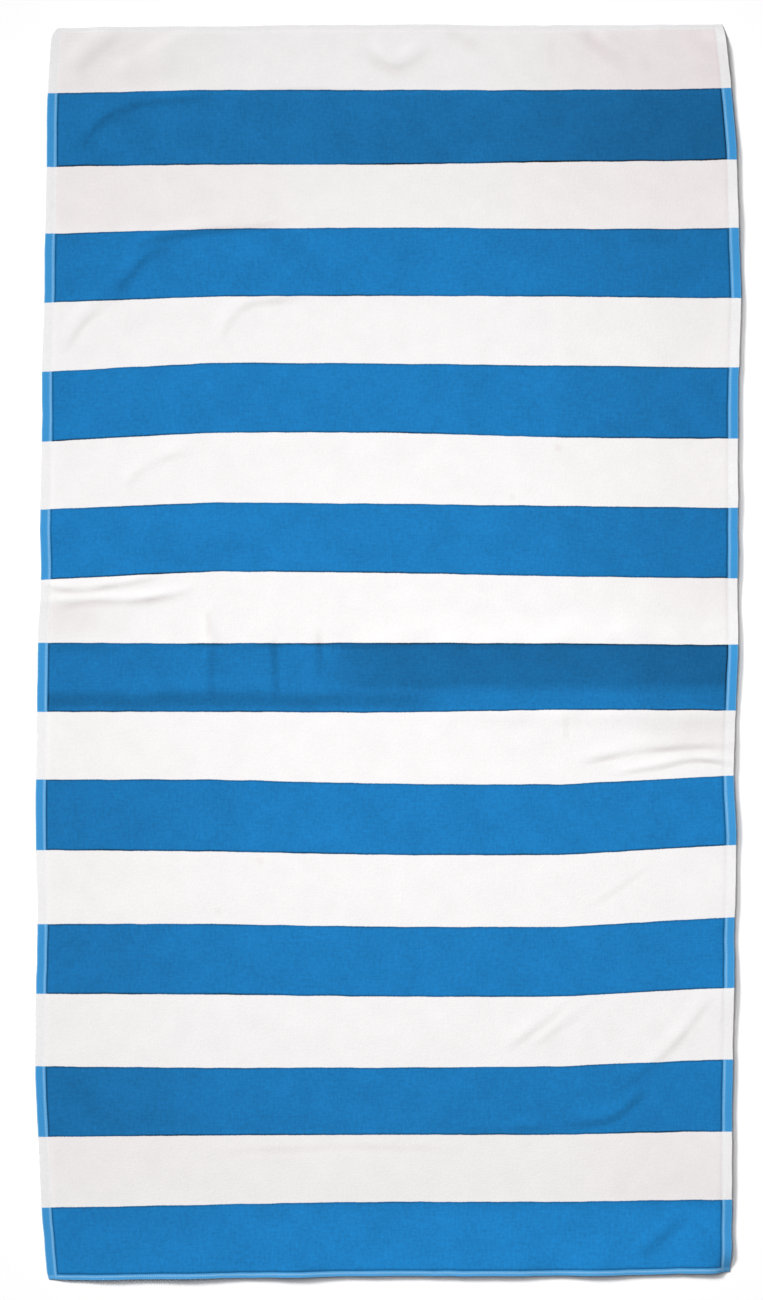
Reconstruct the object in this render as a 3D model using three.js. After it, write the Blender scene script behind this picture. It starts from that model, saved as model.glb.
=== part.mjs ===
// A striped cotton beach towel, lying open on the ground with soft creases left from its folding.
// Millimetres, +Z up. The length runs along Y, the width along X, and the ground is z = 0.
// The origin is on the ground, under the middle of the towel's outline.

import * as THREE from "three";

// Driving dimensions of the flat cloth.
const LENGTH = 1800;
const WIDTH = 1000;
const STRIPE_COUNT = 18;
const STRIPE_DEPTH = LENGTH / STRIPE_COUNT;
const PILE_THICKNESS = 3.2;

// The hems are woven flat, without pile, and turned in. The pile rises from them over a short shoulder.
const HEM_THICKNESS = 2.6;
const SIDE_HEM = 14;
const END_HEM = 7;
const PILE_SHOULDER = 5;

// How far the corner at the far left is turned in.
const CORNER_TUCK = 9;

// The right edge and the near end curl a little off the ground, on which their corners stay.
const CURL_HEIGHT = 8;
const CURL_REACH = 100;
const CURL_FADE = 40;

// Triangle sizes: the plain grid's cells, and how far a triangle's side may miss the folds that it crosses.
// Sides that differ by less than SAME_LENGTH count as equal.
const CELL_WIDTH = 60;
const CELL_DEPTH = STRIPE_DEPTH / 2;
const FOLD_TOLERANCE = 0.35;
const SAME_LENGTH = 1e-6;

// Points along a fold's line, and the share of its length over which it fades in and out.
const FOLD_STEPS = 16;
const FOLD_FADE = 0.3;

const WHITE = 0xf6f4f4;
const BLUE = 0x237fc3;

// The woven cross lines between the stripes, from the far end to the near end. The cloth doesn't lie quite
// square: leftEdge and rightEdge are where a line ends, along X, and the other columns are how far it has
// crept along +Y at five even places across.
const CROSS_LINE_COLUMNS = ["leftEdge", "rightEdge", "left", "leftFold", "middle", "rightFold", "right"];
const CROSS_LINES = [
  [-484, 484, -4, -1, 1, 0, 1],
  [-490, 494, 1, 6, 6, 6, 8],
  [-492, 502, -3, 0, 0, 4, 6],
  [-494, 504, -1, 6, 8, 6, 6],
  [-495, 508, 1, 10, 11, 10, 7],
  [-498, 505, 0, 13, 12, 9, 6],
  [-498, 503, 1, 14, 14, 7, 5],
  [-501, 504, 2, 12, 10, 7, 4],
  [-500, 503, 2, 14, 12, 7, 4],
  [-504, 504, 10, 9, 10, 9, 7],
  [-505, 500, 12, 12, 11, 15, 14],
  [-507, 497, 13, 13, 7, 6, 19],
  [-507, 501, 13, 11, 6, 6, 21],
  [-505, 499, 5, 5, 1, 1, 15],
  [-507, 498, 6, 5, 2, 2, 16],
  [-508, 496, 0, -2, -2, 0, 11],
  [-504, 495, 0, 2, 3, 3, 9],
  [-499, 495, -4, 1, 5, 5, 9],
  [-490, 494, -7, -3, 0, 0, 4],
];

// The folds that stand up from the ground. Each runs through three points, is height tall on its line, and
// falls to the ground at halfWidth from it.
const FOLD_COLUMNS = ["startX", "startY", "midX", "midY", "endX", "endY", "height", "halfWidth"];
const FOLDS = [
  // The far end: both corners, and the ripples between them.
  [-466, 830, -430, 866, -386, 902, 2.6, 22],
  [-415, 814, -343, 857, -249, 900, 1.8, 20],
  [-33, 884, 14, 847, 63, 878, 1.8, 16],
  [291, 896, 334, 864, 384, 832, 1.6, 18],
  [363, 899, 420, 867, 500, 821, 1.6, 22],
  // The arcs that fan out of the left edge.
  [-464, 708, -397, 780, -220, 806, 1.8, 20],
  [-487, 415, -420, 504, -321, 576, 1.3, 18],
  [-405, 512, -328, 593, -203, 612, 1.6, 17],
  [-259, 435, -206, 500, -91, 517, 1.5, 17],
  [-386, 230, -346, 271, -271, 297, 1, 18],
  // The sharp pair at the left edge, and the pair across from it at the right edge.
  [-516, 96, -422, 91, -321, 112, 2.4, 13],
  [-516, 72, -379, 79, -264, 97, 2.4, 15],
  [262, -161, 363, -140, 521, -130, 2, 16],
  [312, -176, 399, -160, 521, -156, 2, 13],
  // The middle, where the towel was folded in half, and the quarter fold that crosses it.
  [-501, -55, -213, -58, 60, -68, 2, 22],
  [-62, 12, 219, 14, 536, 14, 2.6, 40],
  [60, -89, 276, -91, 536, -89, 1.8, 24],
  [-259, 72, -255, 0, -252, -79, 1.2, 14],
  // The arcs that run out to the right edge, near the other end.
  [154, -582, 219, -533, 291, -481, 0.9, 16],
  [190, -585, 255, -530, 312, -490, 0.9, 16],
  [302, -654, 403, -570, 475, -475, 1.2, 17],
  [75, -688, 291, -674, 384, -626, 1.2, 17],
  [346, -881, 389, -841, 438, -798, 1.8, 20],
];

// A table's row as an object that is read by column name.
function namedRow(columns, row) {
  return Object.fromEntries(columns.map((name, i) => [name, row[i]]));
}

// Where the cloth lies

const crossLines = new THREE.CubicInterpolant(
  CROSS_LINES.map((_, i) => i * STRIPE_DEPTH),
  CROSS_LINES.flat(),
  CROSS_LINE_COLUMNS.length,
);

// The place on the ground of a point of the flat cloth: across from the left edge, along from the far end.
function placeOnGround({ across, along }) {
  const line = namedRow(CROSS_LINE_COLUMNS, crossLines.evaluate(along));
  const creeps = [line.left, line.leftFold, line.middle, line.rightFold, line.right];
  const stations = creeps.map((_, i) => (i * WIDTH) / (creeps.length - 1));
  const [creep] = new THREE.CubicInterpolant(stations, creeps, 1).evaluate(across);
  const tuck = across === 0 && along === 0 ? CORNER_TUCK : 0;
  const x = THREE.MathUtils.lerp(line.leftEdge, line.rightEdge, across / WIDTH) + tuck;
  return new THREE.Vector2(x, LENGTH / 2 - along + creep);
}

// A fold with its line: a curve through its three points, cut into short straight steps.
function withLine(fold) {
  const start = new THREE.Vector2(fold.startX, fold.startY);
  const mid = new THREE.Vector2(fold.midX, fold.midY);
  const end = new THREE.Vector2(fold.endX, fold.endY);
  const control = mid.multiplyScalar(2).addScaledVector(start, -0.5).addScaledVector(end, -0.5);
  return { ...fold, line: new THREE.QuadraticBezierCurve(start, control, end).getPoints(FOLD_STEPS) };
}

const folds = FOLDS.map((row) => withLine(namedRow(FOLD_COLUMNS, row)));

// How far a place on the ground is from a fold's line, and the share of the line up to the nearest point.
function nearestOnFold(place, fold) {
  let nearest = { distance: Infinity, share: 0 };
  for (let i = 0; i < FOLD_STEPS; i++) {
    const step = fold.line[i + 1].clone().sub(fold.line[i]);
    const fromStart = place.clone().sub(fold.line[i]);
    const onStep = THREE.MathUtils.clamp(fromStart.dot(step) / step.lengthSq(), 0, 1);
    const distance = fromStart.distanceTo(step.multiplyScalar(onStep));
    if (distance < nearest.distance) nearest = { distance, share: (i + onStep) / FOLD_STEPS };
  }
  return nearest;
}

// The share of the curl's height at a distance from a curled edge and at a place along it.
function curlShare(fromEdge, alongEdge, edgeLength) {
  const fade = THREE.MathUtils.smoothstep(Math.min(alongEdge, edgeLength - alongEdge), 0, CURL_FADE);
  return fade * Math.max(1 - fromEdge / CURL_REACH, 0) ** 2;
}

// How high the underside of the cloth stands off the ground. Away from the folds and curls it is exactly 0.
function liftAt(point) {
  const { across, along } = point;
  const right = curlShare(WIDTH - across, along, LENGTH);
  const near = curlShare(LENGTH - along, across, WIDTH);
  let lift = CURL_HEIGHT * (right + near - right * near);
  const place = placeOnGround(point);
  for (const fold of folds) {
    const { distance, share } = nearestOnFold(place, fold);
    const off = Math.min(distance / fold.halfWidth, 1);
    const fade = THREE.MathUtils.smoothstep(Math.min(share, 1 - share), 0, FOLD_FADE);
    lift += fold.height * fade * (1 - off * off) ** 2;
  }
  return lift;
}

// The cloth's thickness: thin in the hems, and full where there is pile.
function thicknessAt({ across, along }) {
  const fromSide = Math.min(across, WIDTH - across) - SIDE_HEM;
  const fromEnd = Math.min(along, LENGTH - along) - END_HEM;
  const rise = THREE.MathUtils.smoothstep(Math.min(fromSide, fromEnd), 0, PILE_SHOULDER);
  return THREE.MathUtils.lerp(HEM_THICKNESS, PILE_THICKNESS, rise);
}

// The flat cloth as triangles

// Even steps between two numbers, both included.
function evenSteps(from, to, about) {
  const count = Math.round((to - from) / about);
  return Array.from({ length: count + 1 }, (_, i) => from + ((to - from) * i) / count);
}

// Grid lines over a size: the hem and its shoulder at both sides, and the lines given between them.
function gridLines(size, hem, inner) {
  const shoulder = hem + PILE_SHOULDER;
  return [0, hem, shoulder, ...inner, size - shoulder, size - hem, size];
}

const columnLines = gridLines(WIDTH, SIDE_HEM, evenSteps(CELL_WIDTH, WIDTH - CELL_WIDTH, CELL_WIDTH));
const rowLines = gridLines(LENGTH, END_HEM, evenSteps(CELL_DEPTH, LENGTH - CELL_DEPTH, CELL_DEPTH));

// A flat mesh whose triangles can be halved. Each side belongs to the triangle that runs along it that way
// round, so the triangle on its other side is the one that owns the side turned about.
class FlatMesh {
  points = [];
  triangles = new Set();
  owners = new Map();

  addPoint(point) {
    return this.points.push({ ...point, lift: liftAt(point) }) - 1;
  }

  sidesOf([a, b, c]) {
    return [[a, b, c], [b, c, a], [c, a, b]];
  }

  addTriangle(...corners) {
    this.triangles.add(corners);
    for (const [a, b] of this.sidesOf(corners)) this.owners.set(`${a}>${b}`, corners);
  }

  removeTriangle(corners) {
    this.triangles.delete(corners);
    for (const [a, b] of this.sidesOf(corners)) this.owners.delete(`${a}>${b}`);
  }

  sideLength(a, b) {
    const from = this.points[a];
    const to = this.points[b];
    return Math.hypot(to.across - from.across, to.along - from.along);
  }

  // Whether the side from a to b counts as longer than the one from c to d. Of equal sides the newer does.
  isLonger([a, b], [c, d]) {
    const difference = this.sideLength(a, b) - this.sideLength(c, d);
    if (Math.abs(difference) > SAME_LENGTH) return difference > 0;
    const newer = Math.max(a, b) - Math.max(c, d) || Math.min(a, b) - Math.min(c, d);
    return newer > 0;
  }

  // The triangle's corners, turned so that its longest side comes first.
  longestFirst(corners) {
    return this.sidesOf(corners).reduce((best, side) => (this.isLonger(side, best) ? side : best));
  }

  // Halves a triangle across its longest side, together with the triangle on that side's other face.
  halve(corners) {
    const [a, b, c] = this.longestFirst(corners);
    let across = this.owners.get(`${b}>${a}`);
    while (across && this.longestFirst(across).slice(0, 2).join() !== `${b},${a}`) {
      this.halve(across);
      across = this.owners.get(`${b}>${a}`);
    }
    const middle = this.addPoint(this.middleOf([a, b]));
    this.removeTriangle(corners);
    this.addTriangle(a, middle, c);
    this.addTriangle(middle, b, c);
    if (!across) return;
    const far = across.find((corner) => corner !== a && corner !== b);
    this.removeTriangle(across);
    this.addTriangle(b, middle, far);
    this.addTriangle(middle, a, far);
  }

  middleOf(corners) {
    const sum = (key) => corners.reduce((total, corner) => total + this.points[corner][key], 0);
    return { across: sum("across") / corners.length, along: sum("along") / corners.length };
  }
}

// A plain grid of triangles over the cloth.
function gridMesh() {
  const mesh = new FlatMesh();
  const index = rowLines.map((along) => columnLines.map((across) => mesh.addPoint({ across, along })));
  for (let row = 0; row + 1 < rowLines.length; row++) {
    for (let column = 0; column + 1 < columnLines.length; column++) {
      const [farLeft, farRight] = index[row].slice(column, column + 2);
      const [nearLeft, nearRight] = index[row + 1].slice(column, column + 2);
      mesh.addTriangle(nearLeft, nearRight, farLeft);
      mesh.addTriangle(farRight, farLeft, nearRight);
    }
  }
  return mesh;
}

// Whether a triangle is too large for the folds under it: wider than a fold that it lies on, or with a
// longest side that cuts through one.
function isTooLarge(mesh, corners) {
  const [a, b] = mesh.longestFirst(corners);
  const size = mesh.sideLength(a, b);
  const place = placeOnGround(mesh.middleOf(corners));
  const liesOn = (fold) => nearestOnFold(place, fold).distance < fold.halfWidth;
  if (folds.some((fold) => size > 2 * fold.halfWidth && liesOn(fold))) return true;
  const halfway = mesh.middleOf([a, b]);
  const straight = (mesh.points[a].lift + mesh.points[b].lift) / 2;
  return Math.abs(liftAt(halfway) - straight) > FOLD_TOLERANCE;
}

// The grid with every triangle on a fold halved until it is small enough to follow that fold.
function foldedMesh() {
  const mesh = gridMesh();
  const tooLarge = () => [...mesh.triangles].filter((corners) => isTooLarge(mesh, corners));
  for (let large = tooLarge(); large.length; large = tooLarge()) {
    for (const corners of large) if (mesh.triangles.has(corners)) mesh.halve(corners);
  }
  return mesh;
}

// The towel

// The closed sheet: the upper face, the underside, and the walls between them round the edge. The triangles
// are grouped by stripe colour, white at the far end.
function towelGeometry() {
  const flat = foldedMesh();
  const count = flat.points.length;
  const upper = [];
  const under = [];
  for (const point of flat.points) {
    const place = placeOnGround(point);
    upper.push(place.x, place.y, point.lift + thicknessAt(point));
    under.push(place.x, place.y, point.lift);
  }
  const indexByColour = [[], []];
  for (const corners of flat.triangles) {
    const stripe = Math.floor(flat.middleOf(corners).along / STRIPE_DEPTH);
    const faces = indexByColour[stripe % 2];
    const [a, b, c] = corners;
    faces.push(a, b, c, c + count, b + count, a + count);
    for (const [from, to] of flat.sidesOf(corners)) {
      if (flat.owners.has(`${to}>${from}`)) continue;
      faces.push(from + count, to + count, to, from + count, to, from);
    }
  }
  const geometry = new THREE.BufferGeometry();
  geometry.setAttribute("position", new THREE.Float32BufferAttribute([...upper, ...under], 3));
  geometry.setIndex(indexByColour.flat());
  geometry.addGroup(0, indexByColour[0].length, 0);
  geometry.addGroup(indexByColour[0].length, indexByColour[1].length, 1);
  geometry.computeVertexNormals();
  return geometry;
}

function cotton(color) {
  return new THREE.MeshStandardMaterial({ color, roughness: 0.95, metalness: 0 });
}

const towel = new THREE.Mesh(towelGeometry(), [cotton(WHITE), cotton(BLUE)]);
towel.name = "towel";

// The outline is uneven, so the middle of its box is brought over the origin.
towel.geometry.computeBoundingBox();
const middle = towel.geometry.boundingBox.getCenter(new THREE.Vector3());
towel.position.set(-middle.x, -middle.y, 0);

const beachTowel = new THREE.Group();
beachTowel.name = "beach_towel";
beachTowel.add(towel);

export default beachTowel;
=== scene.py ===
"""A striped cotton beach towel, lying open on a pale floor and seen from straight above.

The towel is one closed sheet. Its flat weave is laid on the ground through the same table of cross lines
as the solid that it replaces and over the same folds, shaped more finely. It gets creases, hems, pile and
stitching on top.
Lengths in the tables are in millimetres, and MM turns them into Blender's metres.
"""

import math

import bmesh
import bpy
import numpy as np
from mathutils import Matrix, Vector, noise


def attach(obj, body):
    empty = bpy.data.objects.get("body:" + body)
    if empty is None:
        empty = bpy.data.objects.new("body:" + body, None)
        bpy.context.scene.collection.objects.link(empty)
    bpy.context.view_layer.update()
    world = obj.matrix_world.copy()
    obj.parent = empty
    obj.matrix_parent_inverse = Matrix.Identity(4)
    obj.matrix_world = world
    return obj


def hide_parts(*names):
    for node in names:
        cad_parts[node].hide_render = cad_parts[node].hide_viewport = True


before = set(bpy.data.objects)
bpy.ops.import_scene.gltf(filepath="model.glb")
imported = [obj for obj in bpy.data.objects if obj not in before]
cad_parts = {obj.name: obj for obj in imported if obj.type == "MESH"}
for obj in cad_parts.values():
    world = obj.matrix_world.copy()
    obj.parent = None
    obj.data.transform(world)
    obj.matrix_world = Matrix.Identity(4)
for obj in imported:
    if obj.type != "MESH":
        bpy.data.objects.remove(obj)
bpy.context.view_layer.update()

MM = 0.001
BODY = "root"

# The flat cloth, as in the solid
LENGTH = 1800.0
WIDTH = 1000.0
STRIPE_COUNT = 18
STRIPE_DEPTH = LENGTH / STRIPE_COUNT
PILE_THICKNESS = 3.2
HEM_THICKNESS = 2.6
SIDE_HEM = 14.0
END_HEM = 7.0
PILE_SHOULDER = 5.0

# The curl of the right edge and the near end, a little higher than in the solid and uneven along the edge
CURL_HEIGHT = 9.5
CURL_REACH = 100.0
CURL_FADE = 30.0
CURL_WAVE = 80.0
CURL_VARIATION = 0.6

# Finer forms of the hems: the folded rim, the gap under them, and the sunk stitch line
RIM = 0.8
HEM_GAP = 0.6
STITCH_FROM_SIDE = 12.0
STITCH_FROM_END = 4.8
STITCH_GROOVE = 0.15
STITCH_GROOVE_WIDTH = 1.6

# How far each corner is turned in, and over what distance
CORNER_REACH = 18.0
CORNER_TUCKS = {"far_left": 9.0, "far_right": 2.5, "near_left": 2.0, "near_right": 1.0}

# The woven cross lines between the stripes, from the far end to the near end: where each ends at the left
# and the right along X, and how far it has crept along +Y at five even places across.
CROSS_LINES = np.array([
    (-484, 484, -4, -1, 1, 0, 1),
    (-490, 494, 1, 6, 6, 6, 8),
    (-492, 502, -3, 0, 0, 4, 6),
    (-494, 504, -1, 6, 8, 6, 6),
    (-495, 508, 1, 10, 11, 10, 7),
    (-498, 505, 0, 13, 12, 9, 6),
    (-498, 503, 1, 14, 14, 7, 5),
    (-501, 504, 2, 12, 10, 7, 4),
    (-500, 503, 2, 14, 12, 7, 4),
    (-504, 504, 10, 9, 10, 9, 7),
    (-505, 500, 12, 12, 11, 15, 14),
    (-507, 497, 13, 13, 7, 6, 19),
    (-507, 501, 13, 11, 6, 6, 21),
    (-505, 499, 5, 5, 1, 1, 15),
    (-507, 498, 6, 5, 2, 2, 16),
    (-508, 496, 0, -2, -2, 0, 11),
    (-504, 495, 0, 2, 3, 3, 9),
    (-499, 495, -4, 1, 5, 5, 9),
    (-490, 494, -7, -3, 0, 0, 4),
], dtype=float)

# How straight the cross lines run between those five places: 0 for a smooth curve, 1 for straight pieces
STRAIGHTNESS = 0.7

# The folds that stand up from the ground: points on each one's line, from left to right, then its height,
# its half width above and below the line as seen from the camera, and how round its crest is.
FOLDS = [
    # The far end: both corners, and the ripples between them
    ((-466, 830), (-430, 866), (-386, 902), 2.6, 24, 24, 2),
    ((-415, 814), (-343, 857), (-249, 900), 1.8, 20, 60, 2),
    ((-33, 884), (14, 847), (63, 878), 1.8, 18, 14, 2),
    ((291, 896), (334, 864), (384, 832), 1.6, 18, 18, 2),
    ((363, 899), (420, 867), (500, 821), 1.6, 22, 22, 2),
    # The arcs that fan out of the left edge
    ((-464, 708), (-397, 780), (-220, 806), 1.8, 22, 18, 2),
    ((-487, 415), (-420, 504), (-321, 576), 1.3, 20, 16, 2),
    ((-405, 512), (-328, 593), (-203, 612), 1.6, 18, 16, 2),
    ((-259, 435), (-206, 500), (-91, 517), 1.5, 18, 16, 2),
    ((-386, 230), (-346, 271), (-271, 297), 1.0, 18, 18, 2),
    # The sharp pair at the left edge, and the pair across from it at the right edge
    ((-516, 99), (-448, 90), (-392, 98), (-315, 114), 2.4, 12, 13, 1.5),
    ((-516, 68), (-440, 74), (-338, 79), (-264, 99), 2.4, 12, 18, 1.5),
    ((262, -161), (363, -140), (521, -130), 2.0, 20, 12, 1.6),
    ((312, -177), (385, -165), (443, -154), (521, -162), 2.0, 14, 11, 1.6),
    # The middle, where the towel was folded in half, and the quarter fold that crosses it
    ((-501, -55), (-213, -58), (60, -68), 2.0, 22, 22, 2),
    ((-62, 12), (219, 14), (536, 14), 2.6, 40, 40, 2),
    ((60, -89), (276, -91), (536, -89), 1.8, 24, 24, 2),
    ((-259, 72), (-255, 0), (-252, -79), 1.2, 14, 14, 2),
    # The arcs that run out to the right edge, near the other end
    ((154, -582), (219, -533), (291, -481), 0.8, 17, 15, 2),
    ((190, -585), (255, -530), (312, -490), 0.8, 15, 17, 2),
    ((302, -654), (403, -570), (475, -475), 1.0, 18, 17, 2),
    ((75, -688), (291, -674), (384, -626), 1.2, 18, 17, 2),
    ((346, -881), (389, -841), (438, -798), 1.8, 20, 20, 2),
]

# The creases pressed into the pile, in the same columns, with a depth for the height.
CREASES = [
    # The far end
    ((-50, 878), (13, 832), (78, 867), 0.3, 14, 16, 2),
    ((82, 895), (107, 880), (140, 860), 0.25, 16, 14, 2),
    ((265, 898), (308, 864), (366, 820), 0.32, 18, 18, 2),
    ((425, 898), (452, 872), (490, 842), 0.25, 20, 20, 2),
    ((236, 893), (236, 860), (236, 828), 0.12, 9, 9, 2),
    # The feet of the arcs at the left edge
    ((-444, 720), (-389, 775), (-235, 799), 0.4, 8, 7, 2),
    ((-235, 799), (-127, 805), (-12, 805), 0.3, 7, 7, 2),
    ((-478, 412), (-443, 461), (-395, 500), (-350, 545), 0.25, 8, 7, 2),
    ((-400, 506), (-372, 535), (-340, 566), (-305, 580), 0.5, 9, 10, 2),
    ((-376, 562), (-338, 590), (-270, 600), (-205, 607), (-130, 616), 0.6, 9, 11, 1.8),
    ((-249, 439), (-203, 492), (-98, 508), 0.22, 8, 9, 2),
    ((-379, 230), (-346, 264), (-278, 288), 0.2, 8, 8, 2),
    ((334, 593), (384, 592), (435, 590), 0.2, 8, 8, 2),
    # The sharp pairs
    ((-506, 93), (-448, 83), (-392, 92), (-318, 108), 0.5, 4, 8, 1.4),
    ((-480, 62), (-430, 68), (-338, 72), (-268, 91), 0.5, 4, 11, 1.4),
    ((268, -170), (355, -151), (490, -136), 0.45, 11, 4, 1.4),
    ((318, -183), (385, -172), (443, -161), (505, -170), 0.45, 7, 4, 1.4),
    # The quarter folds across the middle
    ((-259, 62), (-257, 36), (-256, 12), 0.3, 8, 8, 2),
    ((-252, 12), (-252, -36), (-252, -84), 0.75, 10, 10, 2),
    ((-166, 22), (-162, -26), (-160, -80), 0.7, 10, 10, 2),
    ((-98, 40), (-98, -9), (-100, -58), 0.5, 9, 9, 2),
    ((256, -89), (256, -113), (258, -137), 0.25, 8, 8, 2),
    # The feet of the arcs near the other end
    ((276, -382), (334, -343), (392, -302), 0.2, 8, 8, 2),
    ((168, -579), (226, -540), (255, -518), 0.22, 8, 7, 2),
    ((204, -579), (233, -557), (262, -536), 0.22, 8, 7, 2),
    ((315, -651), (409, -576), (485, -482), 0.25, 8, 7, 2),
    ((75, -691), (161, -691), (248, -687), 0.45, 9, 9, 2),
    ((233, -687), (323, -675), (384, -630), 0.55, 10, 9, 2),
    ((355, -886), (392, -850), (445, -806), 0.4, 15, 11, 2),
    ((-271, -729), (-84, -717), (132, -723), 0.2, 9, 9, 2),
]
LINE_STEPS = 16
LINE_FADE = 0.3

# How the folds and creases stray from their lines and vary in height along them
STRAY_WAVE = 80.0
STRAY = 3.5
VARIATION_WAVE = 40.0
VARIATION = 0.7

# Patches from the lie of the pile and from painted shade: from and to along X and how soft its ends are, the
# same along Y, the change of tone where it is blue, how much duller and darker the white is, and its grey
# painted shade.
NAP_AND_SHADE = [
    # The far end and its right side: the nap, and painted shade where the light falls off towards the end
    (-540, 540, 80, 690, 803, 10, -0.15, 0, 0),
    (-80, 120, 90, 690, 803, 10, -0.05, 0, 0),
    (-640, -300, 150, 800, 940, 12, 0, 0.06, 0),
    (300, 640, 150, 800, 940, 12, 0, 0.05, 0),
    (-640, -200, 250, 600, 705, 12, 0, 0.045, 0),
    (-540, 540, 80, 600, 705, 12, 0, 0.02, 0),
    (150, 640, 200, 600, 940, 60, -0.08, 0.02, 0),
    (290, 640, 200, 60, 940, 60, -0.15, 0.035, 0),
    (-640, -420, 120, 500, 700, 60, -0.07, 0, 0),
    # The middle fold
    (-540, 540, 40, -84, 10, 8, -0.09, 0, 0),
    (-65, 540, 40, -55, 10, 9, -0.22, 0, 0),
    (-540, 60, 40, -84, -62, 8, -0.17, 0, 0),
    (-640, -380, 100, -84, 10, 8, -0.05, 0, 0),
    # A painted shade along the far edge of the blue stripe at the fold, like the partings' painted shade
    (-540, 540, 40, 5, 14, 3, -0.25, 0, 0),
    (380, 640, 100, -84, 10, 8, -0.10, 0, 0),
    # The dips beside the sharp pairs, with painted shade in them
    (-540, -400, 60, 20, 70, 20, 0, 0.05, 0.045),
    (380, 540, 60, -150, -90, 16, 0, 0.04, 0.06),
    (380, 640, 100, 15, 112, 10, 0, 0.02, 0),
    # The near end: the nap, and painted shade on the white where the light falls off towards the end
    (-640, -300, 190, -760, -90, 60, -0.14, 0.02, 0),
    (-640, -420, 150, -700, -560, 50, -0.06, 0, 0),
    (-540, 540, 40, -697, -602, 8, -0.03, 0, 0),
    (-540, 540, 80, -795, -692, 10, 0, 0.03, 0),
    (320, 640, 100, -795, -692, 10, 0, 0.025, 0),
    # Painted shade all along the right edge, where it curls up
    (425, 640, 55, -940, 940, 20, -0.03, 0, 0.05),
    (-300, 640, 200, -940, -800, 14, 0.10, 0, 0),
    (180, 640, 120, -940, -800, 14, 0.05, 0, 0),
]

# The same three changes for each millimetre that a crease is deep: painted shade along the creases, and on
# the white partly also the duller, pinker pressed pile
CREASE_PAINTED_SHADE = (-0.25, 0.12, 0.10)

# Faint spots: places in the flat cloth, across and along, and their size and strength
STAINS = [
    (743, 616, 9, 0.22),
    (677, 687, 7, 0.18),
    (320, 1212, 9, 0.20),
    (259, 1281, 8, 0.18),
]

# The mesh: plain cells, finer ones near folds and creases, and the lines that shape the hems
CELL = 10.5
FOLD_CELL_REACH = 19.0
CREASE_CELL_REACH = 10.0
SIDE_LINES = (0, 1.5, 4, 7.5, 10.2, 11.5, 12.8, 14, 15.3, 16.6, 18, 23)
END_LINES = (0, 1.2, 3.4, 4.8, 6.2, 7, 8.3, 9.6, 11, 15)

# Unevenness, as wave lengths and heights: of the pile, and of the edges, which fades out towards the inside
PILE_WAVES = ((160.0, 0.45), (55.0, 0.2))
EDGE_WAVES = ((70.0, 1.0), (24.0, 0.7))
EDGE_WAVE_REACH = 30.0

# The layer of noise that each unevenness is read from. One of several waves takes a layer for each.
LAYER_GAP = 10.5
PILE_LAYER = 0
LEFT_LAYER = 1
RIGHT_LAYER = 3
FAR_LAYER = 5
NEAR_LAYER = 7
STRAY_LAYERS = (11, 12)
VARIATION_LAYER = 13
RIGHT_CURL_LAYER = 14
NEAR_CURL_LAYER = 15

# The bake's map, in shares of its width: the margin, a face's width, and where the underside starts
BAKE_MARGIN = 0.01
BAKE_WIDTH = 0.48
BAKE_UNDERSIDE = 0.5

# The thread of the hems: the bend has places in shares of half a stitch, the crest and dip are in radii
STITCH_PITCH = 3.3
STITCH_LENGTH = 2.4
THREAD_RADIUS = 0.17
THREAD_SIDES = 4
THREAD_BEND = (-1.0, -0.45, 0.45, 1.0)
THREAD_CREST = 0.8
THREAD_DIP = 1.8

# Camera: the photograph's frame, the real size of its pixels, and the pixel above the towel's middle
PHOTO_SIZE = (763, 1300)
PIXEL_SIZE = 1.44
TOWEL_MIDDLE_PIXEL = (388.0, 652.0)
LENS = 85.0
SENSOR = 36.0


# Curves and noise

def smooth(value, low, high):
    """A smooth rise from 0 at low to 1 at high."""
    t = np.clip((value - low) / (high - low), 0, 1)
    return t * t * (3 - 2 * t)


def wander(places, wave, layer):
    """Smooth noise from about -1 to 1 at each place, with waves of the given length."""
    return np.array([noise.noise(Vector((x / wave, y / wave, LAYER_GAP * layer))) for x, y in places])


def waves(places, table, layer):
    """The sum of noises of several wave lengths and heights."""
    return sum(height * wander(places, wave, layer + i) for i, (wave, height) in enumerate(table))


def spline(position, count):
    """The first of four neighbouring rows and their weights, on a smooth curve through count even rows."""
    first = np.clip(np.floor(position).astype(int), 0, count - 2)
    p = position - first
    weights = np.stack([
        (-p + 2 * p**2 - p**3) / 2,
        (2 - 5 * p**2 + 3 * p**3) / 2,
        (p + 4 * p**2 - 3 * p**3) / 2,
        (-(p**2) + p**3) / 2,
    ])
    return first, weights


def with_ends(rows):
    """The rows with one more at each end, in line with the last two."""
    return np.concatenate([[2 * rows[0] - rows[1]], rows, [2 * rows[-1] - rows[-2]]])


def curve_through(points):
    """A smooth line through some points, cut into short steps."""
    first, weights = spline(np.linspace(0, len(points) - 1, LINE_STEPS + 1), len(points))
    rows = with_ends(np.array(points, dtype=float))
    return sum(weights[i][:, None] * rows[first + i] for i in range(4))


def nearest_on(line, places):
    """The distance from each place to a line, the share of the line up to there, and whether it is above."""
    distance = np.full(len(places), np.inf)
    share = np.zeros(len(places))
    above = np.zeros(len(places), dtype=bool)
    for i in range(LINE_STEPS):
        step = line[i + 1] - line[i]
        from_start = places - line[i]
        on_step = np.clip(from_start @ step / (step @ step), 0, 1)
        off = np.linalg.norm(from_start - on_step[:, None] * step, axis=1)
        nearer = off < distance
        distance[nearer] = off[nearer]
        share[nearer] = (i + on_step[nearer]) / LINE_STEPS
        above[nearer] = (step[0] * from_start[:, 1] > step[1] * from_start[:, 0])[nearer]
    return distance, share, above


def within_reach(line, places, reach):
    """The indices of the places in the box round a line."""
    low, high = line.min(axis=0) - reach, line.max(axis=0) + reach
    return np.flatnonzero(((places > low) & (places < high)).all(axis=1))


# Where the cloth lies

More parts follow.
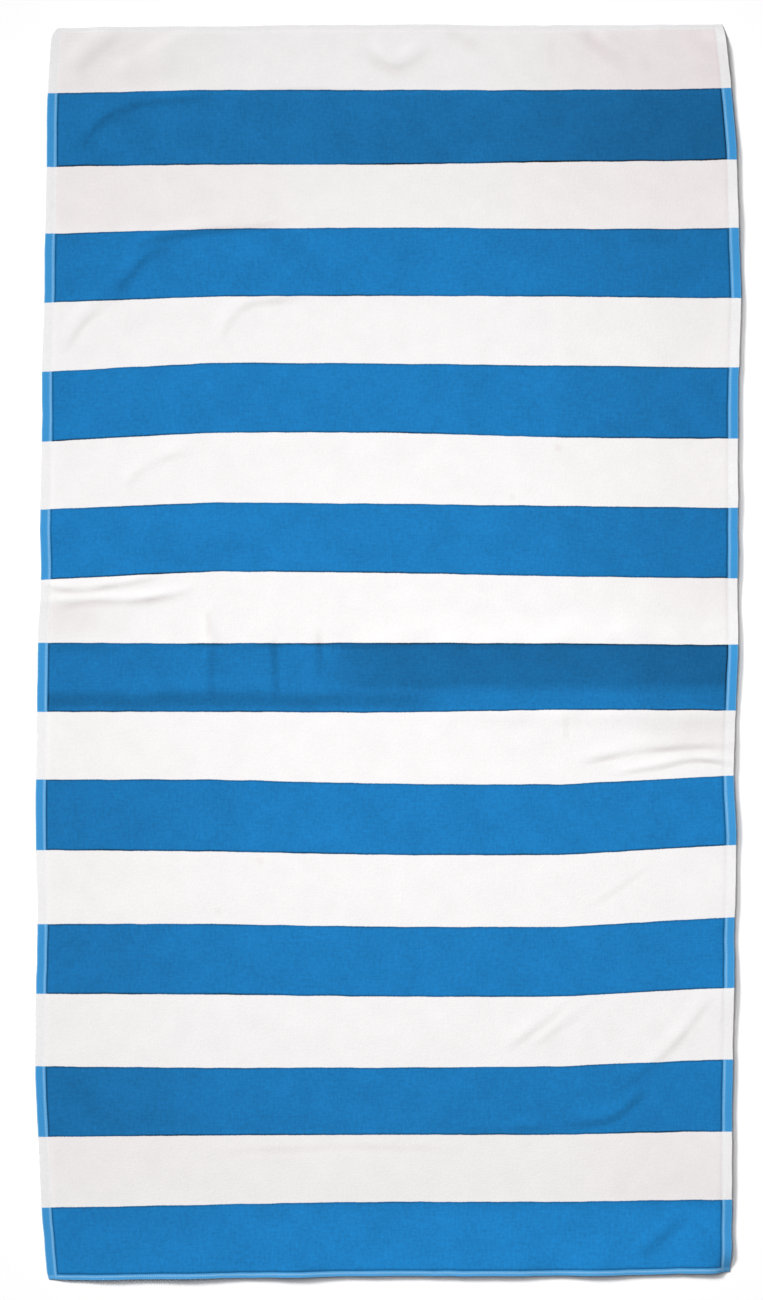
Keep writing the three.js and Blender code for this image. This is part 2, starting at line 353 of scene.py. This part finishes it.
def corner_tuck(across, along):
    """How far the corners are turned in along X."""
    left = np.clip(1 - across / CORNER_REACH, 0, 1)
    right = np.clip(1 - (WIDTH - across) / CORNER_REACH, 0, 1)
    far = np.clip(1 - along / CORNER_REACH, 0, 1) ** 2
    near = np.clip(1 - (LENGTH - along) / CORNER_REACH, 0, 1) ** 2
    at_left = CORNER_TUCKS["far_left"] * far + CORNER_TUCKS["near_left"] * near
    at_right = CORNER_TUCKS["far_right"] * far + CORNER_TUCKS["near_right"] * near
    return left * at_left - right * at_right


def edge_shift(from_edge, along_edge, layer):
    """How far an edge strays to and fro, fading out towards the inside."""
    shift = np.zeros(len(from_edge))
    close = np.flatnonzero(from_edge < EDGE_WAVE_REACH)
    places = np.column_stack([along_edge[close], np.zeros(len(close))])
    shift[close] = waves(places, EDGE_WAVES, layer) * (1 - smooth(from_edge[close], 0, EDGE_WAVE_REACH))
    return shift


def place_on_ground(flat):
    """Where points of the flat cloth lie on the ground, from how far across and along it they are."""
    across, along = flat.T
    row, weights = spline(along / STRIPE_DEPTH, len(CROSS_LINES))
    rows = with_ends(CROSS_LINES)
    line = sum(weights[i][:, None] * rows[row + i] for i in range(4))
    left, right, *creeps = line.T
    position = across / WIDTH * (len(creeps) - 1)
    column, weights = spline(position, len(creeps))
    creeps = with_ends(np.array(creeps))
    points = np.arange(len(flat))
    curved = sum(weights[i] * creeps[column + i, points] for i in range(4))
    part = position - column
    straight = (1 - part) * creeps[column + 1, points] + part * creeps[column + 2, points]
    creep = curved + STRAIGHTNESS * (straight - curved)
    x = left + (right - left) * across / WIDTH + corner_tuck(across, along)
    x = x + edge_shift(across, along, LEFT_LAYER) + edge_shift(WIDTH - across, along, RIGHT_LAYER)
    y = LENGTH / 2 - along + creep
    y = y + edge_shift(along, across, FAR_LAYER) + edge_shift(LENGTH - along, across, NEAR_LAYER)
    return np.column_stack([x, y])


def strayed(ground):
    """The places on the ground, shifted a little so that lines through them waver."""
    shift = [wander(ground, STRAY_WAVE, layer) for layer in STRAY_LAYERS]
    return ground + STRAY * np.column_stack(shift)


def relief(table, places):
    """The summed height of the table's folds or creases at each place on the ground."""
    height = np.zeros(len(places))
    for *points, tall, width_above, width_below, roundness in table:
        line = curve_through(points)
        close = within_reach(line, places, max(width_above, width_below))
        distance, share, above = nearest_on(line, places[close])
        off = np.minimum(distance / np.where(above, width_above, width_below), 1)
        fade = smooth(np.minimum(share, 1 - share), 0, LINE_FADE)
        uneven = 1 + VARIATION * wander(places[close], VARIATION_WAVE, VARIATION_LAYER)
        height[close] += tall * uneven * fade * (1 - off**roundness) ** 2
    return height


def near_lines(table, places, reach):
    """Whether each place is within reach of one of the table's lines."""
    near = np.zeros(len(places), dtype=bool)
    for *points, _, _, _, _ in table:
        line = curve_through(points)
        close = within_reach(line, places, reach)
        near[close] |= nearest_on(line, places[close])[0] < reach
    return near


def curl_share(from_edge, along_edge, edge_length, layer):
    """The share of the curl's height near a curled edge, uneven along it and fading out at its corners."""
    share = np.zeros(len(from_edge))
    close = np.flatnonzero(from_edge < CURL_REACH)
    places = np.column_stack([along_edge[close], np.zeros(len(close))])
    uneven = 1 + CURL_VARIATION * wander(places, CURL_WAVE, layer)
    from_corner = np.minimum(along_edge, edge_length - along_edge)[close]
    share[close] = uneven * smooth(from_corner, 0, CURL_FADE) * (1 - from_edge[close] / CURL_REACH) ** 2
    return share


def cloth_heights(flat, ground):
    """The heights of the underside and the upper face over the ground."""
    across, along = flat.T
    from_side = np.minimum(across, WIDTH - across)
    from_end = np.minimum(along, LENGTH - along)
    right = curl_share(WIDTH - across, along, LENGTH, RIGHT_CURL_LAYER)
    near = curl_share(LENGTH - along, across, WIDTH, NEAR_CURL_LAYER)
    lift = CURL_HEIGHT * (right + near - right * near) + relief(FOLDS, strayed(ground))
    pile = smooth(np.minimum(from_side - SIDE_HEM, from_end - END_HEM), 0, PILE_SHOULDER)
    from_stitch = np.minimum(abs(from_side - STITCH_FROM_SIDE), abs(from_end - STITCH_FROM_END))
    groove = STITCH_GROOVE * np.maximum(1 - from_stitch / STITCH_GROOVE_WIDTH, 0) * (1 - pile)
    thickness = HEM_THICKNESS + (PILE_THICKNESS - HEM_THICKNESS) * pile - groove
    pressed = (relief(CREASES, strayed(ground)) + waves(flat, PILE_WAVES, PILE_LAYER)) * pile
    return lift + HEM_GAP * (1 - pile), lift + thickness - pressed


def nap_and_shade_tones(ground):
    """The change of the blue pile's tone, how much duller and darker the white is and its grey painted
    shade, at each place, from the nap and from the painted shade of creases, dips, ends and the curled edge.
    """
    places = strayed(ground)
    x, y = places.T
    # Painted shade in the creases, deeper where they are deeper
    pressed = relief(CREASES, places)
    tones = np.outer(pressed, CREASE_PAINTED_SHADE)
    for left, right, soft_x, near, far, soft_y, *changes in NAP_AND_SHADE:
        inside = smooth(x, left - soft_x, left + soft_x) - smooth(x, right - soft_x, right + soft_x)
        inside = inside * (smooth(y, near - soft_y, near + soft_y) - smooth(y, far - soft_y, far + soft_y))
        tones = tones + np.outer(inside, changes)
    return tones


# The cloth's mesh

def grid_lines(size, edge_lines):
    """Grid lines over a size: those of the hem at both ends, and even cells between."""
    first, last = edge_lines[-1] + CELL, size - edge_lines[-1] - CELL
    inner = np.linspace(first, last, round((last - first) / CELL) + 1)
    return np.concatenate([edge_lines, inner, size - np.array(edge_lines[::-1])])


def flat_cloth():
    """The flat weave as a grid, with finer cells near the folds and finest near the creases.

    Returns its points, its faces and its outer edges. A face's points run anticlockwise seen from above.
    """
    columns, rows = grid_lines(WIDTH, SIDE_LINES), grid_lines(LENGTH, END_LINES)
    across, along = np.meshgrid(columns, rows)
    index = np.arange(across.size).reshape(across.shape)
    quads = np.stack([index[:-1, :-1], index[1:, :-1], index[1:, 1:], index[:-1, 1:]], axis=-1)
    mesh = bpy.data.meshes.new("flat_cloth")
    points = np.column_stack([across.ravel(), along.ravel(), np.zeros(across.size)])
    mesh.from_pydata(points.tolist(), [], quads.reshape(-1, 4).tolist())
    work = bmesh.new()
    work.from_mesh(mesh)
    bpy.data.meshes.remove(mesh)
    for table, reach in ((FOLDS + CREASES, FOLD_CELL_REACH), (CREASES, CREASE_CELL_REACH)):
        faces = list(work.faces)
        middles = np.array([face.calc_center_median()[:2] for face in faces])
        chosen = near_lines(table, place_on_ground(middles), reach)
        edges = {edge for face, near in zip(faces, chosen) if near for edge in face.edges}
        bmesh.ops.subdivide_edges(work, edges=list(edges), cuts=1, use_grid_fill=True)
    work.verts.index_update()
    flat = np.array([vert.co[:2] for vert in work.verts])
    faces = [[vert.index for vert in face.verts] for face in work.faces]
    loops = [edge.link_loops[0] for edge in work.edges if edge.is_boundary]
    rim = [(loop.vert.index, loop.link_loop_next.vert.index) for loop in loops]
    work.free()
    return flat, faces, rim


def make_cloth():
    """The towel as one closed sheet: its upper face, its underside, and the rounded rim between them.

    Its points keep their place in the flat weave, in metres, 1 on the upper face or else 0, and the tones of
    the nap and of the painted shade. Returns it and the shift that brought its outline to the middle.
    """
    outline, faces, rim = flat_cloth()
    size = np.array([WIDTH, LENGTH])
    flat = np.clip(outline, RIM, size - RIM)
    ground = place_on_ground(flat)
    under, upper = cloth_heights(flat, ground)
    edge = np.array(sorted({a for a, _ in rim}))
    middle_of = {point: 2 * len(flat) + i for i, point in enumerate(edge)}
    points = np.concatenate([
        np.column_stack([ground, upper]),
        np.column_stack([ground, under]),
        np.column_stack([place_on_ground(outline[edge]), (under + upper)[edge] / 2]),
    ])
    count = len(flat)
    upper_faces = faces + [[b, a, middle_of[a], middle_of[b]] for a, b in rim]
    under_faces = [[point + count for point in face[::-1]] for face in faces]
    under_faces += [[middle_of[b], middle_of[a], a + count, b + count] for a, b in rim]
    shift = -(points.min(axis=0) + points.max(axis=0))[:2] / 2
    points[:, :2] += shift
    mesh = bpy.data.meshes.new("towel_cloth")
    mesh.from_pydata((points * MM).tolist(), [], upper_faces + under_faces)
    mesh.polygons.foreach_set("use_smooth", [True] * len(mesh.polygons))
    woven = np.concatenate([flat, flat, outline[edge]])
    is_upper = np.zeros(len(points))
    is_upper[:count] = 1
    add_vectors(mesh, "weave", np.column_stack([woven * MM, is_upper]))
    nap_and_shade = np.zeros((len(points), 3))
    nap_and_shade[:count] = nap_and_shade_tones(ground)
    add_vectors(mesh, "nap_and_shade", nap_and_shade)
    add_bake_map(mesh, woven, len(upper_faces))
    towel = bpy.data.objects.new("towel_cloth", mesh)
    bpy.context.collection.objects.link(towel)
    return towel, shift


def add_vectors(mesh, name, values):
    """Stores three numbers for each point, for the material to read."""
    attribute = mesh.attributes.new(name, "FLOAT_VECTOR", "POINT")
    attribute.data.foreach_set("vector", values.ravel())


def add_bake_map(mesh, woven, upper_count):
    """A UV map with the upper face on its left half and the underside on its right half."""
    layer = mesh.uv_layers.new(name="OFBake")
    corner_point = np.empty(len(mesh.loops), dtype=np.int32)
    mesh.loops.foreach_get("vertex_index", corner_point)
    first_under = mesh.polygons[upper_count].loop_start
    across, along = woven[corner_point].T
    u = BAKE_MARGIN + BAKE_WIDTH * across / WIDTH
    u[first_under:] += BAKE_UNDERSIDE
    v = BAKE_MARGIN + BAKE_WIDTH * (LENGTH - along) / WIDTH
    layer.data.foreach_set("uv", np.column_stack([u, v]).ravel())


# The hems' stitching

def stitch_middles():
    """The middle of each stitch in the flat cloth, and the direction in which it is sewn."""
    left, right = STITCH_FROM_SIDE, WIDTH - STITCH_FROM_SIDE
    far, near = STITCH_FROM_END, LENGTH - STITCH_FROM_END
    corners = np.array([(left, far), (right, far), (right, near), (left, near)])
    middles, directions = [], []
    for start, stop in zip(corners, np.roll(corners, -1, axis=0)):
        seam = stop - start
        count = round(np.linalg.norm(seam) / STITCH_PITCH)
        middles.append(start + (np.arange(count)[:, None] + 0.5) / count * seam)
        directions.append(np.tile(seam / np.linalg.norm(seam), (count, 1)))
    return np.concatenate(middles), np.concatenate(directions)


def make_stitching(shift):
    """The lockstitch of the hems on both faces, as short threads that dip into the cloth at their ends."""
    middles, directions = stitch_middles()
    bend = np.array(THREAD_BEND)
    flat = middles[:, None] + bend[:, None] * directions[:, None] * STITCH_LENGTH / 2
    flat = flat.reshape(-1, 2)
    ground = place_on_ground(flat)
    under, upper = cloth_heights(flat, ground)
    rise = np.tile(THREAD_RADIUS * (THREAD_CREST - THREAD_DIP * bend**2), len(middles))
    sideways = np.repeat(directions[:, ::-1], len(bend), axis=0)
    turn = np.arange(THREAD_SIDES) * 2 * math.pi / THREAD_SIDES
    rings = []
    for height in (upper + rise, under - rise):
        middle = np.column_stack([ground + shift, height])[:, None]
        out = np.zeros((len(ground), THREAD_SIDES, 3))
        out[..., :2] = np.cos(turn)[:, None] * sideways[:, None]
        out[..., 2] = np.sin(turn)
        rings.append(middle + THREAD_RADIUS * out)
    points = np.concatenate(rings).reshape(-1, 3)
    index = np.arange(len(points)).reshape(-1, len(bend), THREAD_SIDES)
    turned = np.roll(index, -1, axis=2)
    walls = np.stack([index[:, :-1], turned[:, :-1], turned[:, 1:], index[:, 1:]], axis=-1).reshape(-1, 4)
    ends = np.concatenate([index[:, 0, ::-1], index[:, -1]])
    mesh = bpy.data.meshes.new("hem_stitching")
    mesh.from_pydata((points * MM).tolist(), [], walls.tolist() + ends.tolist())
    work = bmesh.new()
    work.from_mesh(mesh)
    bmesh.ops.recalc_face_normals(work, faces=work.faces)
    work.to_mesh(mesh)
    work.free()
    mesh.polygons.foreach_set("use_smooth", [True] * len(mesh.polygons))
    stitching = bpy.data.objects.new("hem_stitching", mesh)
    bpy.context.collection.objects.link(stitching)
    return stitching


towel, outline_shift = make_cloth()
stitching = make_stitching(outline_shift)
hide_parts("towel")
for piece in (towel, stitching):
    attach(piece, BODY)


# Materials

class Nodes:
    """A short way to write a material's nodes."""

    def __init__(self, name):
        self.material = bpy.data.materials.new(name)
        self.material.use_nodes = True
        self.tree = self.material.node_tree
        self.shader = self.tree.nodes["Principled BSDF"]

    def node(self, kind, inputs, output=0, **settings):
        """A node with its inputs set or linked, by name or number. Returns one of its outputs."""
        made = self.tree.nodes.new(kind)
        for key, value in settings.items():
            setattr(made, key, value)
        for key, value in inputs.items():
            self.plug(made.inputs[key], value)
        return made.outputs[output]

    def plug(self, socket, value):
        if isinstance(value, bpy.types.NodeSocket):
            self.tree.links.new(value, socket)
        else:
            socket.default_value = value

    def attribute(self, name):
        """The vector that the mesh keeps under a name, and its three numbers."""
        made = self.node("ShaderNodeAttribute", {}, output=1, attribute_name=name)
        return made, self.parts(made)

    def finish(self, settings):
        """Sets what is the same all over the surface. Returns the material."""
        for name, value in settings.items():
            self.shader.inputs[name].default_value = value
        return self.material

    def parts(self, vector):
        """The three numbers of a vector."""
        made = self.tree.nodes.new("ShaderNodeSeparateXYZ")
        self.plug(made.inputs[0], vector)
        return made.outputs

    def math(self, operation, *values):
        return self.node("ShaderNodeMath", dict(enumerate(values)), operation=operation)

    def add(self, first, second):
        return self.math("ADD", first, second)

    def minus(self, first, second):
        return self.math("SUBTRACT", first, second)

    def times(self, first, second):
        return self.math("MULTIPLY", first, second)

    def rise(self, value, low, high, start=0.0, end=1.0):
        """A smooth change from start at low to end at high."""
        inputs = {"Value": value, "From Min": low, "From Max": high, "To Min": start, "To Max": end}
        return self.node("ShaderNodeMapRange", inputs, interpolation_type="SMOOTHSTEP")

    def noise(self, place, size, detail=2.0):
        """Noise about 0, with grains of about size metres, or with a size along each axis."""
        scale = size if isinstance(size, tuple) else (size, size, size)
        inputs = {0: place, 1: [1 / s for s in scale]}
        scaled = self.node("ShaderNodeVectorMath", inputs, operation="MULTIPLY")
        grains = self.node("ShaderNodeTexNoise", {"Vector": scaled, "Scale": 1.0, "Detail": detail})
        return self.minus(grains, 0.5)

    def noises(self, place, table):
        """The sum of noises, from each one's grain size, detail and strength."""
        total = None
        for size, detail, strength in table:
            grains = self.times(self.noise(place, size, detail), strength)
            total = grains if total is None else self.add(total, grains)
        return total

    def blend(self, share, first, second):
        """A mix of two colours, whose sockets are numbers 6 and 7 of the node."""
        made = self.tree.nodes.new("ShaderNodeMix")
        made.data_type = "RGBA"
        for index, value in ((0, share), (6, first), (7, second)):
            self.plug(made.inputs[index], value)
        return made.outputs[2]

    def tone(self, color, factor):
        """A colour made lighter or darker by a factor."""
        made = self.tree.nodes.new("ShaderNodeVectorMath")
        made.operation = "SCALE"
        self.plug(made.inputs[0], color)
        self.plug(made.inputs["Scale"], factor)
        return made.outputs[0]


# Colours and finishes
WHITE_PILE = (0.785, 0.772, 0.772, 1)
# The duller, pinker white of the patches, which is also the colour of the painted shade on the white pile
DULL_AND_SHADED_WHITE = (0.68, 0.545, 0.56, 1)
WHITE_HEM = (0.785, 0.775, 0.78, 1)
BLUE_PILE = (0.0078, 0.168, 0.433)
BLUE_HEM = (0.0425, 0.27, 0.58, 1)
PALE_HEM = (0.16, 0.425, 0.70, 1)
WHITE_THREAD = (0.84, 0.84, 0.85)
TERRY_FINISH = {
    "Roughness": 0.95,
    "Specular IOR Level": 0.15,
    "Sheen Weight": 0.25,
    "Sheen Roughness": 0.45,
}
THREAD_FINISH = {"Roughness": 0.8, "Specular IOR Level": 0.2}
FLOOR_FINISH = {"Base Color": (0.97, 0.965, 0.97, 1), "Roughness": 0.9, "Specular IOR Level": 0.1}

# The stripes' edges, in metres: how far blue spreads into white, how soft its edge is, where the painted
# shade of the parting inside it starts and ends, and that painted shade at the far and the near edge of a
# stripe
BLUE_SPREAD = 0.0009
BLUE_BLUR = 0.0005
PARTING = (0.0006, 0.0036)
PAINTED_PARTING_SHADES = (0.34, 0.6)
PARTING_TURN = 0.01
PARTING_WAVE = 0.11
PARTING_VARIATION = 1.8

# The share of a stripe at each end of the cloth that keeps the end stripe's colour out to the edge
STRIPE_STOP = 0.05

# Noises, as rows of grain size in metres, detail and strength: how far fibres shift the edges of the stripes
# and the pile, the grain of the colours, the mottling of the white, and the relief of the sheared pile
FUZZ = ((0.002, 2.0, 0.0011), (0.04, 1.0, 0.0022))
GRAIN = ((0.0045, 3.0, 1.0), (0.05, 1.0, 0.6))
MOTTLE = ((0.028, 2.0, 0.07),)
FIBRES = ((0.0016, 2.0, 1.0), (0.004, 2.0, 0.8))
STREAK_LENGTH = 0.018
STREAK_WIDTH = 0.0024
STREAK_STRENGTH = 0.6

# The pile's edge at the hems, in metres: how soft it is, its share of the fuzz, where a painted shadow of
# its step lies from and to, and that painted shadow on blue and on white
HEM_BLUR = 0.0012
HEM_FUZZ = 0.6
PILE_EDGE_SHADOW_BAND = (0.001, 0.0045)
PILE_EDGE_SHADOW_ON_BLUE = 0.48
PILE_EDGE_SHADOW_ON_WHITE = 0.06

# How far the grain shows in each colour, and how the white takes up the dullness and painted shade of the
# patches and creases, and the spots
BLUE_GRAIN = 0.42
WHITE_GRAIN = 0.06
HEM_GRAIN = 0.10
NAP_AND_SHADE_DULLNESS = 3.4
STAIN_CORE = 0.2

# The hem's paler lines, as from, to and strength: its rim, partly paler weft at the fold and partly a
# painted highlight, and the line under the stitches
PALE_RIM_AND_HIGHLIGHT = (0.0003, 0.0022, 0.8)
PALE_STITCH_LINE = (0.0012, 0.0026, 0.5)

# Relief: loops in each metre of the underside, the hem's ribs, and how strong and deep the whole relief is
LOOP_SCALE = 450.0
RIB_PITCH = 0.0014
RIB_HEIGHT = 0.25
RELIEF_STRENGTH = 0.5
RELIEF_DEPTH = 0.0006


def make_terry():
    """Striped terry: velour pile above, loops below, and a flat weave in the hems."""
    n = Nodes("striped_terry")
    place, (across, along, is_upper) = n.attribute("weave")
    _, (blue_nap_and_shade, white_dull_and_shade, painted_white_shade) = n.attribute("nap_and_shade")

    # Fibres blur the edges of the stripes and of the pile, and the weave lets them wander a little
    fuzz = n.noises(place, FUZZ)

    # Stripes, as the distance from the middle of the nearest blue one and the depth in it
    stripe = n.math("DIVIDE", n.add(along, fuzz), STRIPE_DEPTH * MM)
    stripe = n.math("MINIMUM", n.math("MAXIMUM", stripe, STRIPE_STOP), STRIPE_COUNT - STRIPE_STOP)
    pair = n.math("FRACT", n.math("MULTIPLY_ADD", stripe, 0.5, 0.75))
    past_middle = n.times(n.minus(pair, 0.5), 2 * STRIPE_DEPTH * MM)
    into_blue = n.minus(STRIPE_DEPTH / 2 * MM + BLUE_SPREAD, n.math("ABSOLUTE", past_middle))
    blue = n.rise(into_blue, -BLUE_BLUR, BLUE_BLUR)
    # A painted shade just inside the blue's edges, stronger at the near edge, where the light falls away
    # from the pile's step
    parting = n.rise(into_blue, *PARTING, 1.0, 0.0)
    uneven = n.math("MULTIPLY_ADD", n.noise(place, PARTING_WAVE, 0.0), PARTING_VARIATION, 1.0)
    shade = n.rise(past_middle, -PARTING_TURN, PARTING_TURN, *PAINTED_PARTING_SHADES)
    painted_parting_shade = n.times(n.times(parting, uneven), shade)

    # Hems, and the distance into the pile from their inner edge
    from_side = n.math("MINIMUM", across, n.minus(WIDTH * MM, across))
    from_end = n.math("MINIMUM", along, n.minus(LENGTH * MM, along))
    past_hem = n.math("MINIMUM", n.minus(from_side, SIDE_HEM * MM), n.minus(from_end, END_HEM * MM))
    relief_pile = n.rise(past_hem, 0.0, HEM_BLUR)
    past_hem = n.add(past_hem, n.times(fuzz, HEM_FUZZ))
    pile = n.rise(past_hem, 0.0, HEM_BLUR)
    # A painted shadow along the pile's step down to the hem
    pile_edge_shadow = n.rise(past_hem, *PILE_EDGE_SHADOW_BAND, 1.0, 0.0)

    # Grain of the pile: blotches, the two ways of the weave, and slow patches
    ways = ((STREAK_LENGTH, STREAK_WIDTH, 1.0), (STREAK_WIDTH, STREAK_LENGTH, 1.0))
    streaks = n.add(*[n.noise(place, way) for way in ways])
    grain = n.add(n.noises(place, GRAIN), n.times(streaks, STREAK_STRENGTH))

    # Colours
    # The blue is darkened by the painted shade of the partings and the painted shadow at the pile's edge
    shaded_edges = n.minus(1.0, n.math("MAXIMUM", painted_parting_shade, n.times(pile_edge_shadow, PILE_EDGE_SHADOW_ON_BLUE)))
    blue_tone = n.times(n.add(blue_nap_and_shade, shaded_edges), n.math("MULTIPLY_ADD", grain, BLUE_GRAIN, 1.0))
    # The white grows duller and darker with the patches, the creases' painted shade, the spots and the pile
    # edge's painted shadow
    dull_and_shade = n.times(white_dull_and_shade, NAP_AND_SHADE_DULLNESS)
    for stain_across, stain_along, size, strength in STAINS:
        spot = {0: place, 1: (stain_across * MM, stain_along * MM, 1.0)}
        distance = n.node("ShaderNodeVectorMath", spot, output=1, operation="DISTANCE")
        dull_and_shade = n.add(dull_and_shade, n.rise(distance, STAIN_CORE * size * MM, size * MM, strength, 0.0))
    dull_and_shade = n.add(dull_and_shade, n.times(pile_edge_shadow, PILE_EDGE_SHADOW_ON_WHITE))
    dull_and_shade = n.math("MINIMUM", n.math("MAXIMUM", dull_and_shade, 0.0), 1.0)
    mottle = n.add(n.times(grain, WHITE_GRAIN), n.noises(place, MOTTLE))
    # The white is darkened by its grey painted shade
    white_tone = n.minus(n.add(mottle, 1.0), painted_white_shade)
    white = n.tone(n.blend(dull_and_shade, WHITE_PILE, DULL_AND_SHADED_WHITE), white_tone)
    pile_color = n.blend(blue, white, n.tone(BLUE_PILE, blue_tone))

    # The hem is paler on its rim, partly with a painted highlight, and under the stitches
    from_side_stitch = n.math("ABSOLUTE", n.minus(from_side, STITCH_FROM_SIDE * MM))
    from_end_stitch = n.math("ABSOLUTE", n.minus(from_end, STITCH_FROM_END * MM))
    from_stitch = n.math("MINIMUM", from_side_stitch, from_end_stitch)
    rim = n.rise(n.math("MINIMUM", from_side, from_end), *PALE_RIM_AND_HIGHLIGHT, 0.0)
    pale = n.math("MAXIMUM", rim, n.rise(from_stitch, *PALE_STITCH_LINE, 0.0))
    hem_color = n.blend(blue, WHITE_HEM, n.blend(pale, BLUE_HEM, PALE_HEM))
    # The hem is darkened by the same grey painted shade
    hem_color = n.tone(hem_color, n.minus(n.math("MULTIPLY_ADD", grain, HEM_GRAIN, 1.0), painted_white_shade))
    n.plug(n.shader.inputs["Base Color"], n.blend(pile, hem_color, pile_color))

    # Relief: short pile above, loops below, and ribs in the hems
    fibres = n.noises(place, FIBRES)
    loops = n.node("ShaderNodeTexVoronoi", {"Vector": place, "Scale": LOOP_SCALE})
    face = n.add(n.times(fibres, is_upper), n.times(n.minus(1.0, loops), n.minus(1.0, is_upper)))
    ribs = n.math("SINE", n.times(from_side, 2 * math.pi / RIB_PITCH))
    ribs = n.times(ribs, n.math("SINE", n.times(from_end, 2 * math.pi / RIB_PITCH)))
    ribs = n.times(n.times(ribs, n.minus(1.0, relief_pile)), RIB_HEIGHT)
    height = n.add(n.times(face, relief_pile), ribs)
    depth = {"Strength": RELIEF_STRENGTH, "Distance": RELIEF_DEPTH}
    n.plug(n.shader.inputs["Normal"], n.node("ShaderNodeBump", {"Height": height, **depth}))
    return n.finish(TERRY_FINISH)


def make_thread():
    """White cotton thread with a little unevenness."""
    n = Nodes("hem_thread")
    place = n.node("ShaderNodeTexCoord", {}, output=3)
    uneven = n.math("MULTIPLY_ADD", n.noise(place, 0.0015), 0.2, 1.0)
    n.plug(n.shader.inputs["Base Color"], n.tone(WHITE_THREAD, uneven))
    twist = n.noise(place, 0.0004)
    n.plug(n.shader.inputs["Normal"], n.node("ShaderNodeBump", {"Height": twist, "Distance": 0.0001}))
    return n.finish(THREAD_FINISH)


towel.data.materials.append(make_terry())
stitching.data.materials.append(make_thread())


# Stage

FLOOR_SIZE = 40.0
FLOOR_DROP = 0.0004

# Lights: where the key stands, in degrees and metres, how wide it looks, and the strengths
KEY_PLACE = (-45, 43, 5.0)
KEY_ANGLE = 12
KEY_ENERGY = 2.7
OVERHEAD_HEIGHT = 1.85
OVERHEAD_SIZE = (0.6, 1.0)
OVERHEAD_ENERGY = 19.8
WORLD_STRENGTH = 0.11


def make_floor():
    mesh = bpy.data.meshes.new("floor")
    h = FLOOR_SIZE / 2
    corners = [(-h, -h, -FLOOR_DROP), (h, -h, -FLOOR_DROP), (h, h, -FLOOR_DROP), (-h, h, -FLOOR_DROP)]
    mesh.from_pydata(corners, [], [(0, 1, 2, 3)])
    floor = bpy.data.objects.new("floor", mesh)
    bpy.context.collection.objects.link(floor)
    mesh.materials.append(Nodes("pale_floor").finish(FLOOR_FINISH))


def make_light(name, kind, energy, place, **settings):
    """A light that faces the middle of the towel and stays out of the picture."""
    data = bpy.data.lights.new(name, kind)
    data.energy = energy
    for key, value in settings.items():
        setattr(data, key, value)
    light = bpy.data.objects.new(name, data)
    light.location = place
    light.rotation_euler = (Vector((0, 0, 0)) - Vector(place)).to_track_quat("-Z", "Y").to_euler()
    light.visible_camera = False
    bpy.context.collection.objects.link(light)


def from_compass(heading, elevation, distance):
    """A place seen from the middle of the towel. Heading 0 is +Y and 90 is +X, in degrees."""
    h, e = math.radians(heading), math.radians(elevation)
    return (
        distance * math.cos(e) * math.sin(h),
        distance * math.cos(e) * math.cos(h),
        distance * math.sin(e),
    )


make_floor()
make_light("key", "SUN", KEY_ENERGY, from_compass(*KEY_PLACE), angle=math.radians(KEY_ANGLE))
overhead = {"shape": "RECTANGLE", "size": OVERHEAD_SIZE[0], "size_y": OVERHEAD_SIZE[1]}
make_light("overhead", "AREA", OVERHEAD_ENERGY, (0, 0, OVERHEAD_HEIGHT), **overhead)
world = bpy.data.worlds.new("studio")
world.use_nodes = True
world.node_tree.nodes["Background"].inputs["Color"].default_value = (1, 1, 1, 1)
world.node_tree.nodes["Background"].inputs["Strength"].default_value = WORLD_STRENGTH
bpy.context.scene.world = world
bpy.context.scene.view_settings.view_transform = "Standard"


# Camera

def make_camera():
    """A camera straight above the towel, framed as the photograph is."""
    data = bpy.data.cameras.new("camera")
    data.lens = LENS
    data.sensor_width = SENSOR
    camera = bpy.data.objects.new("camera", data)
    off_x = (PHOTO_SIZE[0] / 2 - TOWEL_MIDDLE_PIXEL[0]) * PIXEL_SIZE * MM
    off_y = (TOWEL_MIDDLE_PIXEL[1] - PHOTO_SIZE[1] / 2) * PIXEL_SIZE * MM
    height = max(PHOTO_SIZE) * PIXEL_SIZE * MM * LENS / SENSOR
    camera.location = (off_x, off_y, height + PILE_THICKNESS * MM)
    bpy.context.collection.objects.link(camera)
    bpy.context.scene.camera = camera


make_camera()
